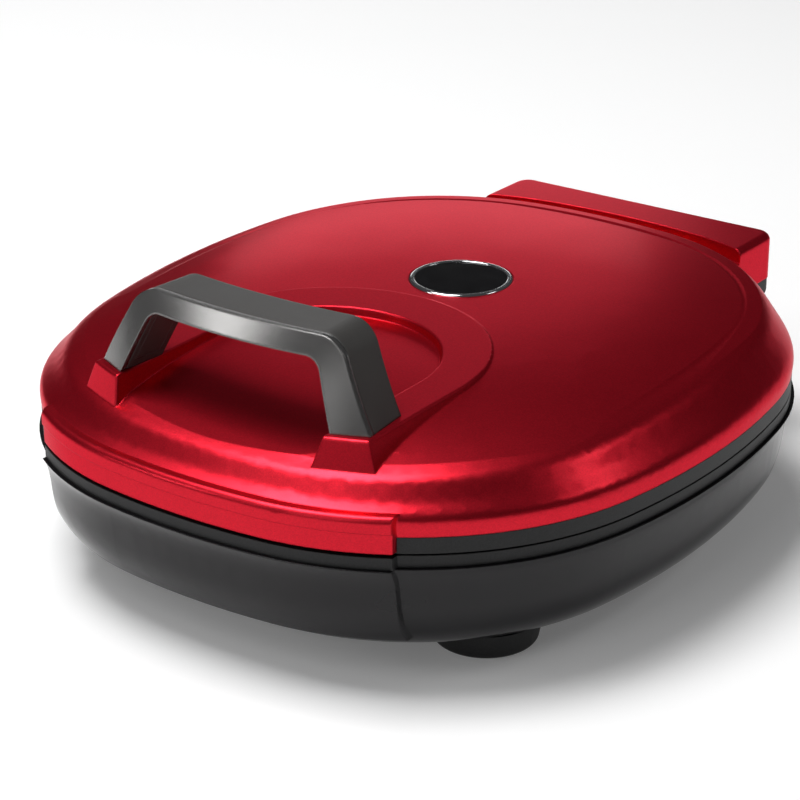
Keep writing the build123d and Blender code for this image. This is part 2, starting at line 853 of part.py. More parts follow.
def reflector(z, rim_up):
    "sheet metal heat shield with a folded rim and screw holes"
    rim_low = z if rim_up else z - reflector_rim + reflector_thickness
    tray = prism(reflector_inset, rim_low, rim_low + reflector_rim)
    if rim_up:
        tray -= prism(reflector_inset + reflector_thickness, z + reflector_thickness, z + reflector_rim + 1)
    else:
        tray -= prism(reflector_inset + reflector_thickness, rim_low - 1, z)
    for x, y in boss_places():
        tray -= rod(x, y, rim_low - 1, rim_low + reflector_rim + 1, screw_diameter / 2 + screw_clearance)
    return tray


def thermostat(z, way):
    "bimetal thermostat pressed against the back of a plate"
    can = rod(0, thermostat_y, min(z, z + way * thermostat_height), max(z, z + way * thermostat_height),
              thermostat_radius)
    blade_start = z + way * thermostat_height / 2
    for side in (-1, 1):
        reach = sorted((side * (thermostat_radius - 1), side * (thermostat_radius + pin_length)))
        can += block(reach, (thermostat_y - tab_width / 2, thermostat_y + tab_width / 2),
                     (blade_start - tab_thickness / 2, blade_start + tab_thickness / 2))
    return can


def thermal_fuse(z, way):
    "thermal cut-out in its clip against the back of a plate"
    centre_z = z + way * (fuse_radius + heater_gap)
    fuse = cross_rod(fuse_x, fuse_x + fuse_length, -thermostat_y, centre_z, fuse_radius)
    fuse += cross_rod(fuse_x - fuse_lead, fuse_x + fuse_length + fuse_lead, -thermostat_y, centre_z,
                      fuse_lead_radius)
    return fuse


# Hinge: posts, shaft, bushes, bracket and end caps


def hinge_posts():
    "two posts that slide in the base and carry the shaft in their eyes"
    low = band_z - guide_depth() + guide_floor + slide_fit
    posts = None
    for side in (-1, 1):
        post = post_slot(side, low, hinge_z)
        eye = cross_rod(side * post_x - post_width / 2, side * post_x + post_width / 2, hinge_y, hinge_z,
                        post_eye_radius)
        post = post + eye
        post -= cross_rod(side * post_x - post_width, side * post_x + post_width, hinge_y, hinge_z,
                          shaft_diameter / 2 + running_fit / 2)
        posts = post if posts is None else posts + post
    return posts


def guide_depth():
    "length of a post guide below the band"
    return float_travel + post_grip + guide_floor


def hinge_guides():
    "two sockets under the band in which the posts slide"
    low = band_z - guide_depth()
    guides = None
    for side in (-1, 1):
        guide = post_slot(side, low, band_z, slide_fit + guide_wall)
        x = side * post_x
        half_x = post_width / 2 + slide_fit + guide_flange_x
        half_y = post_depth / 2 + slide_fit + guide_flange_y
        guide += block((x - half_x, x + half_x), (hinge_y - half_y, hinge_y + half_y),
                       (band_z - guide_flange, band_z))
        for screw_x in (x - guide_screw_offset, x + guide_screw_offset):
            guide -= rod(screw_x, hinge_y, band_z - guide_flange - 1, band_z + 1,
                         screw_diameter / 2 + screw_clearance)
        guide -= post_slot(side, low + guide_floor, band_z + 1, slide_fit)
        guides = guide if guides is None else guides + guide
    return guides


def hinge_shaft():
    "steel rod across the rear"
    return cross_rod(-shaft_half_length, shaft_half_length, hinge_y, hinge_z, shaft_diameter / 2)


def ear_places():
    "inner face of each ear of the lid bracket along X, and the way it is thick"
    near = post_x - post_width / 2 - ear_gap - ear_thickness
    far = post_x + post_width / 2 + ear_gap
    return [-far - ear_thickness, -near - ear_thickness, near, far]


def lid_bracket():
    "steel bracket under the roof of the hinge cover, with four ears round the shaft"
    roof_z = hinge_z + cover_rise - cover_roof
    half = ear_places()[3] + ear_thickness
    plate_z = roof_z - bracket_thickness
    y_range = (hinge_y - ear_radius, hinge_y + ear_radius + bracket_lap)
    bracket = block((-half, half), y_range, (plate_z, roof_z))
    for start in ear_places():
        ear = cross_rod(start, start + ear_thickness, hinge_y, hinge_z, ear_radius)
        ear += block((start, start + ear_thickness), (hinge_y - ear_radius, hinge_y + ear_radius),
                     (hinge_z, plate_z + 0.5))
        bracket += ear
    bracket -= cross_rod(-half - 1, half + 1, hinge_y, hinge_z, shaft_diameter / 2 + running_fit)
    for x in bracket_screw_x:
        bracket -= rod(x, bracket_screw_y, plate_z - 1, roof_z + 1, screw_diameter / 2 + screw_clearance)
    return bracket


def spacers():
    "nylon washers on the shaft between the posts and the ears"
    rings = None
    for side in (-1, 1):
        for face in (post_x - post_width / 2 - ear_gap, post_x + post_width / 2):
            low, high = sorted((side * (face + slide_fit), side * (face + ear_gap - slide_fit)))
            ring = cross_rod(low, high, hinge_y, hinge_z, post_eye_radius - 1)
            ring -= cross_rod(low - 1, high + 1, hinge_y, hinge_z, shaft_diameter / 2 + running_fit / 2)
            rings = ring if rings is None else rings + ring
    return rings


def shaft_clips():
    "retaining ring at each end of the shaft"
    start = ear_places()[3] + ear_thickness + slide_fit
    rings = None
    for side in (-1, 1):
        low, high = sorted((side * start, side * (start + clip_thickness)))
        ring = cross_rod(low, high, hinge_y, hinge_z, clip_radius)
        ring -= cross_rod(low - 1, high + 1, hinge_y, hinge_z, shaft_diameter / 2)
        rings = ring if rings is None else rings + ring
    return rings


def end_caps():
    "round black caps that close both ends of the hinge cover below its edge"
    edge_z = hinge_z - cover_drop
    outer_x = cover_half_width - cap_inset
    caps = None
    for side in (-1, 1):
        low, high = sorted((side * (outer_x - cap_width), side * outer_x))
        cap = cross_rod(low, high, hinge_y, hinge_z, cap_radius)
        low_z = hinge_z - cap_radius
        cap &= extrude(Pos(0, 0, low_z) * cover_region(cap_inset), amount=edge_z - low_z)
        tab_out = cover_half_width - lid_wall - cap_gap
        t_low, t_high = sorted((side * (outer_x - cap_width), side * tab_out))
        cap += block((t_low, t_high), (hinge_y - cap_tab_half, hinge_y + cap_tab_half),
                     (edge_z - cap_tab_lap, hinge_z + cap_tab_rise))
        caps = cap if caps is None else caps + cap
    return caps


# Base: shell, band, feet, inlet and switches


def shell_form(inset=0.0, lift=0.0, top=0.0):
    "closed form of the bowl below the band"
    sections = [
        (shell_bottom_inset + inset, floor_z + lift, 0.0),
        (shell_turn_inset + inset, floor_z + shell_turn_height + lift * shell_turn_share, 0.0),
        (shell_low_inset + inset, floor_z + shell_low_height + lift * shell_low_share, 0.0),
        (shell_side_inset + inset, floor_z + shell_side_height, 0.0),
        (inset - shell_bulge, band_z + top, 0.0),
    ]
    return lofted(sections)


def housing_region(grow=0.0):
    "plan of the rear housing together with the bowl"
    reach = hinge_y + housing_reach - grow
    box = Pos(0, reach / 2) * Rectangle(2 * (cover_half_width - grow), reach)
    box = fillet(box.vertices().sort_by(Axis.Y)[-2:], cover_corner - min(grow, cover_corner / 2))
    plan = outline(shell_turn_inset + grow, 0) + box
    inside = [v for v in plan.vertices()
              if v.Y > 0 and abs(abs(v.X) - cover_half_width + grow) < edge_tolerance]
    notches = [v for v in inside if v.Y < half_depth]
    return fillet(notches, housing_flare)


def rear_housing(grow, low, high):
    "rear part of the bowl that holds the hinge guides, inlet and switches"
    solid = extrude(Pos(0, 0, low) * housing_region(grow), amount=high - low)
    keep = block((-half_width, half_width), (housing_start_y, hinge_y + 2 * cut_reach), (low - 1, high + 1))
    return (solid & keep) - prism(shell_bottom_inset, low - 1, high + 1)


def base_shell():
    "black bowl with its front section, rear housing, pillars and vents"
    shell = shell_form()
    front = shell_form(-front_proud) & front_block(floor_z + front_low, band_z)
    box = rear_housing(0.0, floor_z + housing_floor, band_z)
    box = fillet(box.faces().sort_by(Axis.Z)[0].edges().filter_by(
        lambda e: e.center().Y > half_depth + housing_edge), housing_edge)
    shell = shell + front + box
    shell -= shell_form(shell_wall, shell_wall, 1.0)
    shell -= rear_housing(shell_wall, floor_z + housing_floor + shell_wall, band_z + 1)
    pillar_top = pillar_z()
    for x, y in boss_places():
        shell += rod(x, y, floor_z, pillar_top, boss_radius)
        shell -= rod(x, y, floor_z - 1, floor_z + plate_screw_seat, screw_head_radius + screw_clearance)
        shell -= rod(x, y, floor_z, pillar_top + 1, screw_diameter / 2 + screw_clearance)
    for ring_radius in vent_rings:
        for i in range(vent_count):
            angle = 360 * i / vent_count
            slot = Pos(ring_radius, 0) * Rot(0, 0, 90) * SlotOverall(vent_length, vent_width)
            shell -= extrude(Pos(0, 0, floor_z - 1) * Rot(0, 0, angle) * slot, amount=shell_wall + 2)
    shell -= inlet_body(inlet_wall + panel_fit, -1, housing_wall_y() + 1)
    for side in (-1, 1):
        shell -= switch_body(side, switch_wall + panel_fit, -1, housing_wall_y() + 1)
    for x, y in foot_places():
        shell -= rod(x, y, floor_z - 1, floor_z + shell_wall + 1, screw_diameter / 2 + screw_fit)
    return shell


def pillar_z():
    "top of the pillars under the lower heat shield"
    plate_floor = parting_z - ledge_drop + flange_thickness - dish_depth - plate_thickness
    return plate_floor - lower_boss_height - reflector_thickness


def base_band():
    "matt band on the bowl that carries the lower plate, with the deck over the rear housing"
    band = prism(0, band_z, parting_z)
    front = prism(-front_proud, band_z, parting_z) & front_block(band_z, parting_z)
    band += front
    region = extrude(Pos(0, 0, band_z) * housing_region(), amount=band_height)
    band += region & block((-half_width, half_width), (housing_start_y, hinge_y + 2 * cut_reach),
                           (band_z, parting_z))
    band -= prism(ledge_inset + ledge_width, band_z - 1, parting_z + 1)
    band -= prism(ledge_inset - plate_fit, parting_z - ledge_drop, parting_z + 1)
    for side in (-1, 1):
        band -= post_slot(side, band_z - 1, parting_z + 1, deck_fit)
    for x, y in guide_screw_places():
        band -= rod(x, y, band_z - 1, band_z + guide_screw_grip + screw_spare,
                    screw_diameter / 2 + screw_fit)
    return band


def guide_screw_places():
    "centres of the screws that hold the guides to the band"
    xs = [side * (post_x + step) for side in (-1, 1) for step in (-guide_screw_offset, guide_screw_offset)]
    return [(x, hinge_y) for x in xs]


def housing_wall_y():
    "rear face of the housing"
    return hinge_y + housing_reach


def foot_places():
    "centres of the four feet"
    return [(x, y) for x in (-foot_x, foot_x) for y in (-foot_y, foot_y)]


def feet_parts():
    "moulded feet, rubber pads and foot screws"
    feet, pads, screws = None, None, None
    for x, y in foot_places():
        low = pad_proud
        rings = ((low, foot_bottom_radius), (floor_z, foot_top_radius))
        foot = loft([Pos(x, y, z) * Circle(radius) for z, radius in rings])
        foot = fillet(foot.faces().sort_by(Axis.Z)[0].edges(), foot_edge)
        foot -= rod(x, y, low - 1, pad_thickness, pad_radius + pad_fit)
        foot -= rod(x, y, low, floor_z - foot_roof, screw_head_radius + screw_clearance)
        foot -= rod(x, y, low, floor_z + 1, screw_diameter / 2 + screw_clearance)
        pad = rod(x, y, 0, pad_thickness, pad_radius)
        pad = fillet(pad.faces().sort_by(Axis.Z)[0].edges(), pad_edge)
        bolt = screw(x, y, floor_z - foot_roof, floor_z + shell_wall)
        feet = foot if feet is None else feet + foot
        pads = pad if pads is None else pads + pad
        screws = bolt if screws is None else screws + bolt
    return feet, pads, screws


def inlet_body(grow, back, front):
    "rounded box of the inlet between two places along Y"
    half_x = inlet_width / 2 + grow
    half_z = inlet_height / 2 + grow
    start = housing_wall_y() - inlet_depth - inlet_wall + back
    box = block((-half_x, half_x), (start, front), (inlet_z - half_z, inlet_z + half_z))
    return fillet(box.edges().filter_by(Axis.Y).sort_by(Axis.Z)[-2:], inlet_corner)


def inlet_parts():
    "mains inlet with its recess, and its three blades"
    wall_y = housing_wall_y()
    housing = inlet_body(inlet_wall, 0, wall_y + inlet_flange_thickness)
    flange = inlet_body(inlet_wall + inlet_flange, 0, wall_y + inlet_flange_thickness)
    housing += flange & block((-half_width, half_width), (wall_y, wall_y + cut_reach), (0, band_z))
    housing -= inlet_body(0, inlet_wall, wall_y + inlet_flange_thickness + 1)
    blades = None
    places = ((-blade_pitch, -blade_side_drop), (0, blade_centre_rise), (blade_pitch, -blade_side_drop))
    for x, rise in places:
        half_x, half_z = blade_width / 2, blade_height / 2
        start = wall_y - inlet_depth
        z = inlet_z + rise
        x_range, z_range = (x - half_x, x + half_x), (z - half_z, z + half_z)
        blade = block(x_range, (start - blade_root, start + blade_length), z_range)
        housing -= block(x_range, (start - blade_root, start + 1), z_range)
        blades = blade if blades is None else blades + blade
    return housing, blades


def switch_body(side, grow, back, front):
    "box of one switch between two places along Y"
    half_x = switch_width / 2 + grow
    half_z = switch_height / 2 + grow
    start = housing_wall_y() - switch_depth + back
    x = side * switch_x
    return block((x - half_x, x + half_x), (start, front), (inlet_z - half_z, inlet_z + half_z))


def switch_bezels():
    "frames and bodies of the two switches, with the pivot holes of their keys"
    wall_y = housing_wall_y()
    bezels = None
    for side in (-1, 1):
        bezel = switch_body(side, switch_wall, 0, wall_y + switch_flange_thickness)
        flange = switch_body(side, switch_wall + switch_flange, 0, wall_y + switch_flange_thickness)
        bezel += flange & block((-half_width, half_width), (wall_y, wall_y + cut_reach), (0, band_z))
        bezel -= switch_body(side, 0, switch_wall, wall_y + switch_flange_thickness + 1)
        x = side * switch_x
        bezel -= cross_rod(x - switch_width / 2 - 1, x + switch_width / 2 + 1, switch_pivot_y(), inlet_z,
                           switch_pivot_radius + running_fit)
        bezels = bezel if bezels is None else bezels + bezel
    return bezels


def switch_pivot_y():
    "place of the switch pivots along Y"
    return housing_wall_y() - switch_pivot_depth


def switch_key(side):
    "rocking key of one switch, at rest with its upper half out"
    half_x = switch_width / 2 - switch_gap
    half_z = switch_height / 2 - switch_end_gap
    out = switch_pivot_depth + switch_proud
    back = switch_back
    back_z = half_z - back
    profile = Polyline((-back, -back_z), (0, -half_z), (out, -half_z), (out - switch_hollow, 0),
                       (out, half_z), (0, half_z), (-back, back_z), close=True)
    face = make_face(Plane.YZ * profile)
    key = extrude(face, amount=half_x, both=True)
    key += Rot(0, 90, 0) * Cylinder(switch_pivot_radius, switch_width + 2 * switch_pivot_grip)
    return Pos(side * switch_x, switch_pivot_y(), inlet_z) * Rot(-switch_tilt, 0, 0) * key


def group(shapes):
    "several separate solids as one shape"
    whole = shapes[0]
    for shape in shapes[1:]:
        whole = whole + shape
    return whole


def screws(places, seat, tip):
    "one screw at each place, as one shape"
    return group([screw(x, y, seat, tip) for x, y in places])


# All pieces, written one file each, moved so that the origin is under the middle of the box
front_reach = half_depth + shell_bulge + front_proud
rear_reach = hinge_y + cover_reach
plates_y = (front_reach - rear_reach) / 2

flange_seat = parting_z - ledge_drop
lower_back = flange_seat + flange_thickness - dish_depth - plate_thickness
upper_back = lid_ring_z - upper_face_drop + plate_thickness
upper_shield = upper_back + upper_boss_height
rod_gap = heater_diameter / 2 + heater_gap
bracket_z = hinge_z + cover_rise - cover_roof - bracket_thickness

handle_trim_piece, handle_body, handle_underside_piece = handle_parts()
badge_ring, badge_disc = badge_parts()
feet, foot_pads, foot_screws = feet_parts()
inlet_housing, inlet_blades = inlet_parts()

pieces = {
    "lid_shell": lid_shell(),
    "handle_body": handle_body,
    "handle_trim": handle_trim_piece,
    "handle_underside": handle_underside_piece,
    "handle_screws": screws([(side * handle_screw_x, handle_screw_y) for side in (-1, 1)],
                            handle_boss_z(), handle_z + handle_screw_grip),
    "badge_ring": badge_ring,
    "badge_disc": badge_disc,
    "lid_ring": lid_ring(),
    "lid_ring_screws": screws([rim_point(ring_screw_inset, angle) for angle in ring_screw_angles],
                              lid_ring_z + screw_head_height + screw_spare, lid_z + ring_screw_grip),
    "upper_plate": upper_plate(),
    "upper_heater": heater(upper_back + rod_gap),
    "upper_terminals": heater_terminals(upper_back + rod_gap, 1),
    "upper_heat_shield": reflector(upper_shield, False),
    "upper_shield_screws": screws(boss_places(), upper_shield + reflector_thickness,
                                  upper_back + upper_boss_height / 3),
    "upper_thermostat": thermostat(upper_back, 1),
    "upper_thermal_fuse": thermal_fuse(upper_back, 1),
    "lid_bracket": lid_bracket(),
    "bracket_screws": screws([(x, bracket_screw_y) for x in bracket_screw_x], bracket_z,
                             bracket_z + bracket_thickness + bracket_screw_grip),
    "hinge_end_caps": end_caps(),
    "hinge_posts": hinge_posts(),
    "hinge_shaft": hinge_shaft(),
    "hinge_spacers": spacers(),
    "shaft_clips": shaft_clips(),
    "base_shell": base_shell(),
    "base_band": base_band(),
    "lower_plate": lower_plate(),
    "lower_heater": heater(lower_back - rod_gap),
    "lower_terminals": heater_terminals(lower_back - rod_gap, -1),
    "lower_heat_shield": reflector(pillar_z(), True),
    "lower_plate_screws": screws(boss_places(), floor_z + plate_screw_seat,
                                 lower_back - lower_boss_height / 3),
    "lower_thermostat": thermostat(lower_back, -1),
    "lower_thermal_fuse": thermal_fuse(lower_back, -1),
    "hinge_guides": hinge_guides(),
    "guide_screws": screws(guide_screw_places(), band_z - guide_flange, band_z + guide_screw_grip),
    "feet": feet,
    "foot_pads": foot_pads,
    "foot_screws": foot_screws,
    "inlet_housing": inlet_housing,
    "inlet_blades": inlet_blades,
    "switch_bezels": switch_bezels(),
    "upper_switch_key": switch_key(1),
    "lower_switch_key": switch_key(-1),
}
for name, piece in pieces.items():
    export_step(Pos(0, plates_y, 0) * piece, "parts/" + name + ".step")
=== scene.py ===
# %% [markdown]
# # A clamshell griddle
#
# The object is an electric griddle: two coated dishes that close on each other like a shell. The lower one
# sits in a glossy black bowl on four feet. The upper one hangs in a red lid with a bridge handle, and the two
# are joined by a hinge at the back that can also rise, so that thick food is pressed evenly.
#
# Every part comes from the CAD model, at its real size and in its real place. This script gives the parts
# their finishes and sets up a plain studio.

# %% Load the model
import bpy
import math
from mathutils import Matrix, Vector


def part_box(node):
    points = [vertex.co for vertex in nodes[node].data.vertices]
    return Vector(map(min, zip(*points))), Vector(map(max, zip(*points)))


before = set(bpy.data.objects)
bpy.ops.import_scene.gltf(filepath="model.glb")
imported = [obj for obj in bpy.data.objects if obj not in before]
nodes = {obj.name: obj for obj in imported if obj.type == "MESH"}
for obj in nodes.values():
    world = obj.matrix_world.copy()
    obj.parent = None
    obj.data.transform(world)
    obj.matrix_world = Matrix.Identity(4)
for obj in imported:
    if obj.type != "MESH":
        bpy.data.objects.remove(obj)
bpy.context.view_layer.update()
MM = 0.001

# %% [markdown]
# ## Two helpers
#
# Colours are written as they would be picked on a screen, in sRGB hex. Blender mixes light in linear values,
# so one function turns the one into the other. A second function adds a node to a material: it takes the
# node's kind, what goes into its sockets, and its settings. A value that comes from another node is a link.
#
# A moulded edge is never sharp. The Bevel node rounds edges in the shading alone, by a radius that each
# material chooses. It looks around each point a few times, and six looks are enough for edges this small.

# %% Colour and node helpers
def linear(hex_colour):
    "turns an sRGB colour such as #C4161F into linear red, green, blue and alpha"
    channels = [int(hex_colour[i:i + 2], 16) / 255 for i in (1, 3, 5)]
    return [c / 12.92 if c <= 0.04045 else ((c + 0.055) / 1.055) ** 2.4 for c in channels] + [1.0]


def add_node(tree, kind, inputs=None, **settings):
    "adds a shader node; inputs maps a socket's name or number to a value or to another node's output"
    new = tree.nodes.new("ShaderNode" + kind)
    for name, value in settings.items():
        setattr(new, name, value)
    for name, value in (inputs or {}).items():
        if isinstance(value, bpy.types.NodeSocket):
            tree.links.new(value, new.inputs[name])
        else:
            new.inputs[name].default_value = value
    return new


edge_looks = 6


def empty_material(name):
    "a material with nothing in it yet but its output"
    material = bpy.data.materials.new(name)
    material.use_nodes = True
    material.node_tree.nodes.clear()
    return material, material.node_tree


def dress(material, *names):
    "gives CAD parts their material, in every slot that they have"
    for name in names:
        part = nodes[name]
        part.data.materials.clear()
        part.data.materials.append(material)
    print(material.name, "on", ", ".join(names))

# %% [markdown]
# ## Red lacquer on the lid
#
# The lid is moulded in ABS and sprayed: a red coat full of fine aluminium flakes, then a clear coat. Flakes
# lie almost flat, so the colour is bright where it mirrors a lamp and falls quickly to dark red beside it.
# That is what Metallic does to a base colour, so most of it is metallic here. Specular Tint keeps reflections
# at a glancing angle pink instead of white, and the clear coat on top is thin. The flakes are about 0.05 mm
# across in the real paint. They are drawn at 0.5 mm, the smallest that shows at this distance, each cell a
# little lighter or darker.
#
# The lid's curved faces are made of narrow facets. A Weighted Normal modifier lets the large facets decide
# how the light turns over the surface, so that highlights run more evenly over the shoulder.

# %% Metallic red lacquer
lacquer, tree = empty_material("lacquered_abs_red")
place = add_node(tree, "TexCoord").outputs["Object"]
flake_size = 0.5 * MM
flakes = add_node(tree, "TexVoronoi", {"Vector": place, "Scale": 1 / flake_size})
flake_tone = add_node(tree, "MapRange", {"Value": flakes.outputs["Color"], "To Min": 0.86, "To Max": 1.14})
cloud_size = 60 * MM
clouds = add_node(tree, "TexNoise", {"Vector": place, "Scale": 1 / cloud_size, "Detail": 2.0})
coat_tone = add_node(tree, "MixRGB", {
    "Fac": clouds.outputs["Fac"], "Color1": linear("#C41C2C"), "Color2": linear("#CE2030")})
lacquer_colour = add_node(tree, "VectorMath", {
    0: coat_tone.outputs[0], "Scale": flake_tone.outputs[0]}, operation="SCALE")
peel_size = 2.5 * MM
peel = add_node(tree, "TexNoise", {"Vector": place, "Scale": 1 / peel_size, "Detail": 1.0})
soft_edges = add_node(tree, "Bevel", {"Radius": 1.2 * MM}, samples=edge_looks)
peel_bump = add_node(tree, "Bump", {
    "Height": peel.outputs["Fac"], "Strength": 0.05, "Distance": 0.1 * MM, "Normal": soft_edges.outputs[0]})
shine = add_node(tree, "BsdfPrincipled", {
    "Base Color": lacquer_colour.outputs[0], "Metallic": 0.9, "Roughness": 0.32,
    "Specular Tint": linear("#FFB0B8"),
    "Coat Weight": 0.05, "Coat Roughness": 0.15, "Normal": peel_bump.outputs[0],
    "Coat Normal": soft_edges.outputs[0]})
add_node(tree, "OutputMaterial", {"Surface": shine.outputs[0]})
dress(lacquer, "lid_shell")
even_normals = nodes["lid_shell"].modifiers.new("even_normals", "WEIGHTED_NORMAL")
even_normals.keep_sharp = True

# %% [markdown]
# ## Black and charcoal mouldings
#
# Several plastics here are nearly black and none looks like another. The bowl is polypropylene polished in
# its mould, and mirrors the room. The bands between lid and bowl, the feet and the hinge parts are nylon from
# a spark-eroded mould, whose fine grain scatters the light. The grain is about 0.4 mm across and is drawn at
# 0.8 mm, so that it shows. The handle is satin ABS in charcoal, with a thin plated strip round its front. The
# badge is a disc of polished acrylic in a chrome ring, and the switches are glossy. Each gets its own
# roughness and its own grain, worked out from a size in millimetres.

# %% Polished black polypropylene
bowl, tree = empty_material("polished_polypropylene_black")
place = add_node(tree, "TexCoord").outputs["Object"]
flow_size = 35 * MM
flow = add_node(tree, "TexNoise", {"Vector": place, "Scale": 1 / flow_size, "Detail": 3.0})
bowl_roughness = add_node(tree, "MapRange", {
    "Value": flow.outputs["Fac"], "From Min": 0.3, "From Max": 0.7, "To Min": 0.13, "To Max": 0.19})
bowl_colour = add_node(tree, "MixRGB", {
    "Fac": flow.outputs["Fac"], "Color1": linear("#121113"), "Color2": linear("#1A181A")})
ripple_size = 6 * MM
ripple = add_node(tree, "TexNoise", {"Vector": place, "Scale": 1 / ripple_size, "Detail": 1.0})
soft_edges = add_node(tree, "Bevel", {"Radius": 1.0 * MM}, samples=edge_looks)
ripple_bump = add_node(tree, "Bump", {
    "Height": ripple.outputs["Fac"], "Strength": 0.04, "Distance": 0.2 * MM, "Normal": soft_edges.outputs[0]})
shine = add_node(tree, "BsdfPrincipled", {
    "Base Color": bowl_colour.outputs[0], "Roughness": bowl_roughness.outputs[0], "IOR": 1.49,
    "Specular IOR Level": 0.28,
    "Normal": ripple_bump.outputs[0]})
add_node(tree, "OutputMaterial", {"Surface": shine.outputs[0]})
dress(bowl, "base_shell")

# %% Grained black nylon
grained, tree = empty_material("spark_eroded_nylon_black")
place = add_node(tree, "TexCoord").outputs["Object"]
grain_size = 0.8 * MM
grain = add_node(tree, "TexNoise", {"Vector": place, "Scale": 1 / grain_size, "Detail": 2.0})
grain_tone = add_node(tree, "ValToRGB", {"Fac": grain.outputs["Fac"]})
grain_tone.color_ramp.elements[0].position = 0.35
grain_tone.color_ramp.elements[0].color = linear("#080809")
grain_tone.color_ramp.elements[1].position = 0.70
grain_tone.color_ramp.elements[1].color = linear("#181819")
soft_edges = add_node(tree, "Bevel", {"Radius": 0.6 * MM}, samples=edge_looks)
grain_bump = add_node(tree, "Bump", {
    "Height": grain.outputs["Fac"], "Strength": 0.5, "Distance": 0.1 * MM, "Normal": soft_edges.outputs[0]})
shine = add_node(tree, "BsdfPrincipled", {
    "Base Color": grain_tone.outputs[0], "Roughness": 0.52, "IOR": 1.53, "Specular IOR Level": 0.35,
    "Normal": grain_bump.outputs[0]})
add_node(tree, "OutputMaterial", {"Surface": shine.outputs[0]})
dress(grained, "lid_ring", "base_band", "feet", "hinge_end_caps", "hinge_posts", "hinge_guides",
      "inlet_housing")

# %% Satin charcoal ABS of the handle
charcoal, tree = empty_material("satin_abs_charcoal")
place = add_node(tree, "TexCoord").outputs["Object"]
leather_size = 0.7 * MM
leather = add_node(tree, "TexVoronoi", {"Vector": place, "Scale": 1 / leather_size})
rubbed_size = 18 * MM
rubbed = add_node(tree, "TexNoise", {"Vector": place, "Scale": 1 / rubbed_size, "Detail": 4.0})
charcoal_colour = add_node(tree, "MixRGB", {
    "Fac": rubbed.outputs["Fac"], "Color1": linear("#343332"), "Color2": linear("#403E3C")})
charcoal_roughness = add_node(tree, "MapRange", {
    "Value": rubbed.outputs["Fac"], "From Min": 0.3, "From Max": 0.7, "To Min": 0.40, "To Max": 0.48})
soft_edges = add_node(tree, "Bevel", {"Radius": 1.2 * MM}, samples=edge_looks)
leather_bump = add_node(tree, "Bump", {
    "Height": leather.outputs["Distance"], "Strength": 0.18, "Distance": 0.1 * MM,
    "Normal": soft_edges.outputs[0]})
shine = add_node(tree, "BsdfPrincipled", {
    "Base Color": charcoal_colour.outputs[0], "Roughness": charcoal_roughness.outputs[0], "IOR": 1.54,
    "Normal": leather_bump.outputs[0]})
add_node(tree, "OutputMaterial", {"Surface": shine.outputs[0]})
dress(charcoal, "handle_body", "handle_underside")

# %% Gunmetal plating on the front of the handle
gunmetal, tree = empty_material("satin_plated_gunmetal")
place = add_node(tree, "TexCoord").outputs["Object"]
streak_place = add_node(tree, "Mapping", {"Vector": place, "Scale": (0.05, 1.0, 1.0)})
streak_size = 0.5 * MM
streaks = add_node(tree, "TexNoise", {
    "Vector": streak_place.outputs[0], "Scale": 1 / streak_size, "Detail": 2.0})
gunmetal_roughness = add_node(tree, "MapRange", {
    "Value": streaks.outputs["Fac"], "From Min": 0.3, "From Max": 0.7, "To Min": 0.23, "To Max": 0.26})
soft_edges = add_node(tree, "Bevel", {"Radius": 1.4 * MM}, samples=edge_looks)
gunmetal_colour = add_node(tree, "MixRGB", {
    "Fac": streaks.outputs["Fac"], "Color1": linear("#7A7978"), "Color2": linear("#807F7E")})
shine = add_node(tree, "BsdfPrincipled", {
    "Base Color": gunmetal_colour.outputs[0], "Metallic": 0.85, "Roughness": gunmetal_roughness.outputs[0],
    "Normal": soft_edges.outputs[0]})
add_node(tree, "OutputMaterial", {"Surface": shine.outputs[0]})
dress(gunmetal, "handle_trim")

# %% Badge: chrome ring and black acrylic disc
chrome, tree = empty_material("bright_chrome_plate")
place = add_node(tree, "TexCoord").outputs["Object"]
wipe_size = 4 * MM
wipes = add_node(tree, "TexNoise", {"Vector": place, "Scale": 1 / wipe_size, "Detail": 4.0})
chrome_roughness = add_node(tree, "MapRange", {"Value": wipes.outputs["Fac"], "To Min": 0.05, "To Max": 0.14})
shine = add_node(tree, "BsdfPrincipled", {
    "Base Color": linear("#D9DADC"), "Metallic": 1.0, "Roughness": chrome_roughness.outputs[0]})
add_node(tree, "OutputMaterial", {"Surface": shine.outputs[0]})
dress(chrome, "badge_ring")

acrylic, tree = empty_material("polished_acrylic_black")
place = add_node(tree, "TexCoord").outputs["Object"]
haze_size = 9 * MM
haze = add_node(tree, "TexNoise", {"Vector": place, "Scale": 1 / haze_size, "Detail": 3.0})
haze_roughness = add_node(tree, "MapRange", {"Value": haze.outputs["Fac"], "To Min": 0.04, "To Max": 0.09})
haze_colour = add_node(tree, "MixRGB", {
    "Fac": haze.outputs["Fac"], "Color1": linear("#0A0A0B"), "Color2": linear("#101011")})
shine = add_node(tree, "BsdfPrincipled", {
    "Base Color": haze_colour.outputs[0], "Roughness": haze_roughness.outputs[0], "IOR": 1.49,
    "Specular IOR Level": 0.12})
add_node(tree, "OutputMaterial", {"Surface": shine.outputs[0]})
dress(acrylic, "badge_disc")

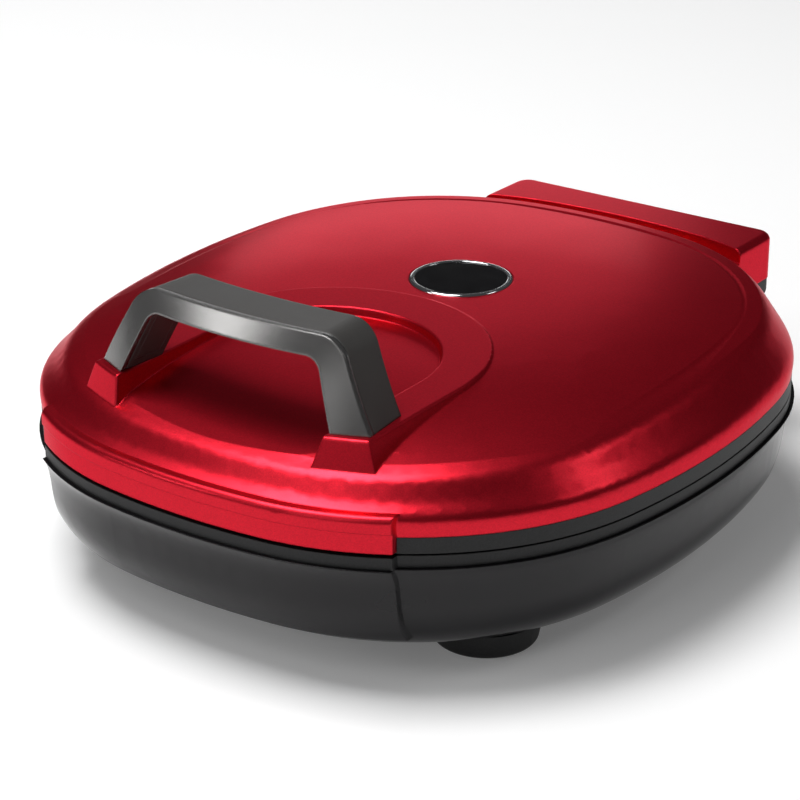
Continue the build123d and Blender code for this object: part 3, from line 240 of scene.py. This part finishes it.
# %% Glossy ABS of the switches
switch_black, tree = empty_material("glossy_abs_switch_black")
place = add_node(tree, "TexCoord").outputs["Object"]
touch_size = 3 * MM
touch = add_node(tree, "TexNoise", {"Vector": place, "Scale": 1 / touch_size, "Detail": 3.0})
touch_roughness = add_node(tree, "MapRange", {"Value": touch.outputs["Fac"], "To Min": 0.18, "To Max": 0.34})
touch_colour = add_node(tree, "MixRGB", {
    "Fac": touch.outputs["Fac"], "Color1": linear("#141415"), "Color2": linear("#1B1B1C")})
soft_edges = add_node(tree, "Bevel", {"Radius": 0.4 * MM}, samples=edge_looks)
shine = add_node(tree, "BsdfPrincipled", {
    "Base Color": touch_colour.outputs[0], "Roughness": touch_roughness.outputs[0], "IOR": 1.54,
    "Normal": soft_edges.outputs[0]})
add_node(tree, "OutputMaterial", {"Surface": shine.outputs[0]})
dress(switch_black, "switch_bezels", "upper_switch_key", "lower_switch_key")

# %% Moulded rubber of the foot pads
rubber, tree = empty_material("moulded_rubber_black")
place = add_node(tree, "TexCoord").outputs["Object"]
dust_size = 1.5 * MM
dust = add_node(tree, "TexNoise", {"Vector": place, "Scale": 1 / dust_size, "Detail": 5.0})
rubber_colour = add_node(tree, "MixRGB", {
    "Fac": dust.outputs["Fac"], "Color1": linear("#1B1B1B"), "Color2": linear("#2B2A29")})
dust_bump = add_node(tree, "Bump", {"Height": dust.outputs["Fac"], "Strength": 0.3, "Distance": 0.1 * MM})
shine = add_node(tree, "BsdfPrincipled", {
    "Base Color": rubber_colour.outputs[0], "Roughness": 0.82, "IOR": 1.52, "Normal": dust_bump.outputs[0]})
add_node(tree, "OutputMaterial", {"Surface": shine.outputs[0]})
dress(rubber, "foot_pads")

# %% [markdown]
# ## The dishes
#
# The two dishes are die-cast aluminium, blasted and then sprayed with a nonstick coating. The coating is dark
# grey with pale mineral specks of 0.3 to 1 mm, and its surface undulates like fine orange peel, so highlights
# on it are broad and a little restless. The specks are cells of a Voronoi pattern that pass a threshold.

# %% Nonstick coating
nonstick, tree = empty_material("nonstick_coated_aluminium")
place = add_node(tree, "TexCoord").outputs["Object"]
speck_size = 1.6 * MM
specks = add_node(tree, "TexVoronoi", {"Vector": place, "Scale": 1 / speck_size})
speck_mask = add_node(tree, "ValToRGB", {"Fac": specks.outputs["Distance"]})
speck_mask.color_ramp.elements[0].position = 0.10
speck_mask.color_ramp.elements[0].color = linear("#8A8985")
speck_mask.color_ramp.elements[1].position = 0.20
speck_mask.color_ramp.elements[1].color = linear("#26272A")
blast_size = 1.1 * MM
blast = add_node(tree, "TexNoise", {"Vector": place, "Scale": 1 / blast_size, "Detail": 3.0})
soft_edges = add_node(tree, "Bevel", {"Radius": 1.0 * MM}, samples=edge_looks)
blast_bump = add_node(tree, "Bump", {
    "Height": blast.outputs["Fac"], "Strength": 0.25, "Distance": 0.1 * MM, "Normal": soft_edges.outputs[0]})
shine = add_node(tree, "BsdfPrincipled", {
    "Base Color": speck_mask.outputs[0], "Roughness": 0.36, "IOR": 1.38, "Normal": blast_bump.outputs[0]})
add_node(tree, "OutputMaterial", {"Surface": shine.outputs[0]})
dress(nonstick, "upper_plate", "lower_plate")

# %% [markdown]
# ## Metal inside and at the hinge
#
# Under each dish a steel-clad heating rod is clamped by a sheet of rolled aluminium. The rod has been hot, so
# it is tinted straw and brown along its length. The sheet shows the faint lines of the roller. Screws, hinge
# bracket and shaft are zinc plated, which leaves a patchwork of crystals from bright to dull. Metals keep the
# default IOR, and only their colour, roughness and pattern differ.

# %% Rolled aluminium
rolled, tree = empty_material("rolled_aluminium_sheet")
place = add_node(tree, "TexCoord").outputs["Object"]
roller_place = add_node(tree, "Mapping", {"Vector": place, "Scale": (1.0, 0.02, 1.0)})
roller_size = 0.6 * MM
roller = add_node(tree, "TexNoise", {
    "Vector": roller_place.outputs[0], "Scale": 1 / roller_size, "Detail": 2.0})
roller_roughness = add_node(tree, "MapRange", {
    "Value": roller.outputs["Fac"], "To Min": 0.26, "To Max": 0.44})
roller_bump = add_node(tree, "Bump", {
    "Height": roller.outputs["Fac"], "Strength": 0.15, "Distance": 0.05 * MM})
shine = add_node(tree, "BsdfPrincipled", {
    "Base Color": linear("#D5D6D8"), "Metallic": 1.0, "Roughness": roller_roughness.outputs[0],
    "Normal": roller_bump.outputs[0]})
add_node(tree, "OutputMaterial", {"Surface": shine.outputs[0]})
dress(rolled, "upper_heat_shield", "lower_heat_shield")

# %% Heat-tinted steel
tinted, tree = empty_material("heat_tinted_steel_tube")
place = add_node(tree, "TexCoord").outputs["Object"]
tint_size = 22 * MM
tint = add_node(tree, "TexNoise", {"Vector": place, "Scale": 1 / tint_size, "Detail": 4.0})
tint_colour = add_node(tree, "MixRGB", {
    "Fac": tint.outputs["Fac"], "Color1": linear("#8C7A5E"), "Color2": linear("#5A5048")})
tint_roughness = add_node(tree, "MapRange", {"Value": tint.outputs["Fac"], "To Min": 0.35, "To Max": 0.6})
shine = add_node(tree, "BsdfPrincipled", {
    "Base Color": tint_colour.outputs[0], "Metallic": 1.0, "Roughness": tint_roughness.outputs[0]})
add_node(tree, "OutputMaterial", {"Surface": shine.outputs[0]})
dress(tinted, "upper_heater", "lower_heater")

# %% Zinc-plated steel
zinc, tree = empty_material("zinc_plated_steel")
place = add_node(tree, "TexCoord").outputs["Object"]
crystal_size = 2.0 * MM
crystals = add_node(tree, "TexVoronoi", {"Vector": place, "Scale": 1 / crystal_size})
zinc_roughness = add_node(tree, "MapRange", {
    "Value": crystals.outputs["Color"], "To Min": 0.24, "To Max": 0.40})
zinc_colour = add_node(tree, "MixRGB", {
    "Fac": crystals.outputs["Color"], "Color1": linear("#B9BCC0"), "Color2": linear("#C9CBCC")})
soft_edges = add_node(tree, "Bevel", {"Radius": 0.3 * MM}, samples=edge_looks)
shine = add_node(tree, "BsdfPrincipled", {
    "Base Color": zinc_colour.outputs[0], "Metallic": 1.0, "Roughness": zinc_roughness.outputs[0],
    "Normal": soft_edges.outputs[0]})
add_node(tree, "OutputMaterial", {"Surface": shine.outputs[0]})
dress(zinc, "lid_bracket", "hinge_shaft", "shaft_clips", "upper_thermostat", "lower_thermostat",
      "upper_terminals", "lower_terminals", *[name for name in sorted(nodes) if name.endswith("_screws")])

# %% Bright brass of the inlet's blades
brass, tree = empty_material("drawn_brass")
place = add_node(tree, "TexCoord").outputs["Object"]
draw_place = add_node(tree, "Mapping", {"Vector": place, "Scale": (1.0, 0.05, 1.0)})
draw_size = 0.4 * MM
draw_lines = add_node(tree, "TexNoise", {"Vector": draw_place.outputs[0], "Scale": 1 / draw_size})
brass_roughness = add_node(tree, "MapRange", {
    "Value": draw_lines.outputs["Fac"], "To Min": 0.2, "To Max": 0.36})
shine = add_node(tree, "BsdfPrincipled", {
    "Base Color": linear("#D8C48A"), "Metallic": 1.0, "Roughness": brass_roughness.outputs[0]})
add_node(tree, "OutputMaterial", {"Surface": shine.outputs[0]})
dress(brass, "inlet_blades")

# %% Woven sleeve of the thermal fuses
sleeve, tree = empty_material("woven_glass_sleeve")
place = add_node(tree, "TexCoord").outputs["Object"]
thread_size = 0.8 * MM
threads = add_node(tree, "TexWave", {"Vector": place, "Scale": 1 / (thread_size * 2 * math.pi)},
                   wave_type="BANDS", bands_direction="DIAGONAL")
sleeve_colour = add_node(tree, "MixRGB", {
    "Fac": threads.outputs["Fac"], "Color1": linear("#B9B29C"), "Color2": linear("#DED9C8")})
thread_bump = add_node(tree, "Bump", {
    "Height": threads.outputs["Fac"], "Strength": 0.4, "Distance": 0.1 * MM})
shine = add_node(tree, "BsdfPrincipled", {
    "Base Color": sleeve_colour.outputs[0], "Roughness": 0.75, "IOR": 1.5, "Normal": thread_bump.outputs[0]})
add_node(tree, "OutputMaterial", {"Surface": shine.outputs[0]})
dress(sleeve, "upper_thermal_fuse", "lower_thermal_fuse")

# %% Natural nylon of the hinge washers
washer, tree = empty_material("natural_nylon")
place = add_node(tree, "TexCoord").outputs["Object"]
milk_size = 3 * MM
milk = add_node(tree, "TexNoise", {"Vector": place, "Scale": 1 / milk_size, "Detail": 2.0})
milk_colour = add_node(tree, "MixRGB", {
    "Fac": milk.outputs["Fac"], "Color1": linear("#DDD9CC"), "Color2": linear("#E9E6DC")})
shine = add_node(tree, "BsdfPrincipled", {
    "Base Color": milk_colour.outputs[0], "Roughness": 0.4, "IOR": 1.53, "Subsurface Weight": 0.1,
    "Subsurface Radius": (1.5 * MM, 1.2 * MM, 1.0 * MM)})
add_node(tree, "OutputMaterial", {"Surface": shine.outputs[0]})
dress(washer, "hinge_spacers")

# %% [markdown]
# ## Studio
#
# The griddle stands on a pale sheet that fills the view. One large soft lamp hangs above it on the left and
# casts the soft shadow to the right. Five dimmer ones stand round it, because lacquer, plating and polished
# plastic mirror them, so that their places and sizes draw the highlights. A low panel behind on the left
# lights the rear of the lid, one on the right draws the long line on its shoulder, one at the front left
# fills the front of the handle, and one at the front catches the rounded bead of the lid's lip. A wide one
# above these two carries the light down the lid's front slope. Between the lamps the room is dim, which gives
# the dark parts of the red. The sheet glows a little by itself everywhere, which lightens the griddle's
# shadow on it. It glows more far from the griddle, where the lamps no longer reach it, so a picture
# taken from low down stays pale too.

# %% Floor and room
floor_mesh = bpy.data.meshes.new("floor")
floor_half = 7.0
floor_mesh.from_pydata(
    [(-floor_half, -floor_half, 0), (floor_half, -floor_half, 0), (floor_half, floor_half, 0),
     (-floor_half, floor_half, 0)], [], [(0, 1, 2, 3)])
floor = bpy.data.objects.new("floor", floor_mesh)
bpy.context.scene.collection.objects.link(floor)
paper, tree = empty_material("pale_paper")
place = add_node(tree, "TexCoord").outputs["Object"]
fibre_size = 5 * MM
fibre = add_node(tree, "TexNoise", {"Vector": place, "Scale": 1 / fibre_size, "Detail": 4.0})
paper_colour = add_node(tree, "MixRGB", {
    "Fac": fibre.outputs["Fac"], "Color1": linear("#F7F7F7"), "Color2": linear("#FAFAFA")})
# painted light: the sheet glows by itself, faintly near the griddle, where the glow lightens its shadow, and
# more strongly farther out where the lamps fade
lit_out_to = 1.3
dark_from = 4.5
away = add_node(tree, "VectorMath", {0: place}, operation="LENGTH")
paper_glow = add_node(tree, "MapRange", {
    "Value": away.outputs["Value"], "From Min": lit_out_to, "From Max": dark_from,
    "To Min": 0.12, "To Max": 0.75})
shine = add_node(tree, "BsdfPrincipled", {
    "Base Color": paper_colour.outputs[0], "Roughness": 0.9, "Specular IOR Level": 0.1,
    "Emission Color": linear("#FFFFFF"), "Emission Strength": paper_glow.outputs[0]})
add_node(tree, "OutputMaterial", {"Surface": shine.outputs[0]})
floor_mesh.materials.append(paper)
print("sheet", 2 * floor_half, "m wide in", paper.name)

room = bpy.data.worlds.new("room")
room.use_nodes = True
room.node_tree.nodes["Background"].inputs["Color"].default_value = linear("#8A8A8C")
room.node_tree.nodes["Background"].inputs["Strength"].default_value = 0.20
bpy.context.scene.world = room
bpy.context.scene.view_settings.view_transform = "Standard"

# %% Lamps
middle = Vector((0.0, 0.0, 0.08))


def seen_from(turn, rise, distance):
    "point at a distance from the middle, turned from the front towards the right and raised, in degrees"
    a, b = math.radians(turn), math.radians(rise)
    return middle + distance * Vector((math.sin(a) * math.cos(b), -math.cos(a) * math.cos(b), math.sin(b)))


def soft_lamp(name, turn, rise, distance, width, height, brightness):
    "a rectangular lamp that faces the middle; brightness 1 is as bright as white paper in the picture"
    lamp = bpy.data.lights.new(name, "AREA")
    lamp.shape = "RECTANGLE"
    lamp.size = width
    lamp.size_y = height
    lamp.energy = brightness * math.pi * width * height
    holder = bpy.data.objects.new(name, lamp)
    holder.location = seen_from(turn, rise, distance)
    holder.rotation_euler = (middle - holder.location).to_track_quat("-Z", "Y").to_euler()
    bpy.context.scene.collection.objects.link(holder)
    print(name, "at", [round(v, 2) for v in holder.location], "watts", round(lamp.energy, 1))


soft_lamp("overhead_lamp", -71, 73, 2.8, 1.4, 1.4, 11.8)
soft_lamp("rear_panel", -144, 13, 2.5, 0.85, 0.5, 1.8)
soft_lamp("right_panel", 120, 42, 2.5, 0.8, 0.5, 3.2)
soft_lamp("front_left_lamp", -39, 22, 2.5, 0.5, 0.35, 7.5)
soft_lamp("front_panel", 2, 22, 2.5, 1.1, 0.8, 1.2)
soft_lamp("front_fill", -10, 47, 2.5, 2.2, 1.1, 1.0)

# %% [markdown]
# ## Camera
#
# The picture was taken from the front right, a little above the object, with a long lens: straight edges
# barely converge. The camera stands 1.25 m away at 35.6 degrees round from the front and 23.3 degrees up.

# %% Camera
view_turn = math.radians(35.63)
view_rise = math.radians(23.25)
view_distance = 1.25
outline_middle = Vector((0.0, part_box("lower_plate")[0].y / 2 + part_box("lower_plate")[1].y / 2, 0.0))
view_target = outline_middle + Vector((0.0, 0.0, 0.060))
direction = Vector((math.sin(view_turn) * math.cos(view_rise), -math.cos(view_turn) * math.cos(view_rise),
                    math.sin(view_rise)))
camera_data = bpy.data.cameras.new("camera")
camera_data.sensor_width = 36.0
camera_data.lens = 111.88
camera_data.shift_x = -0.0281
camera_data.shift_y = 0.0002
camera = bpy.data.objects.new("camera", camera_data)
camera.location = view_target + direction * view_distance
camera.rotation_euler = (-direction).to_track_quat("-Z", "Y").to_euler()
bpy.context.scene.collection.objects.link(camera)
bpy.context.scene.camera = camera
print("camera at", [round(v, 4) for v in camera.location], "looking at", [round(v, 4) for v in view_target])
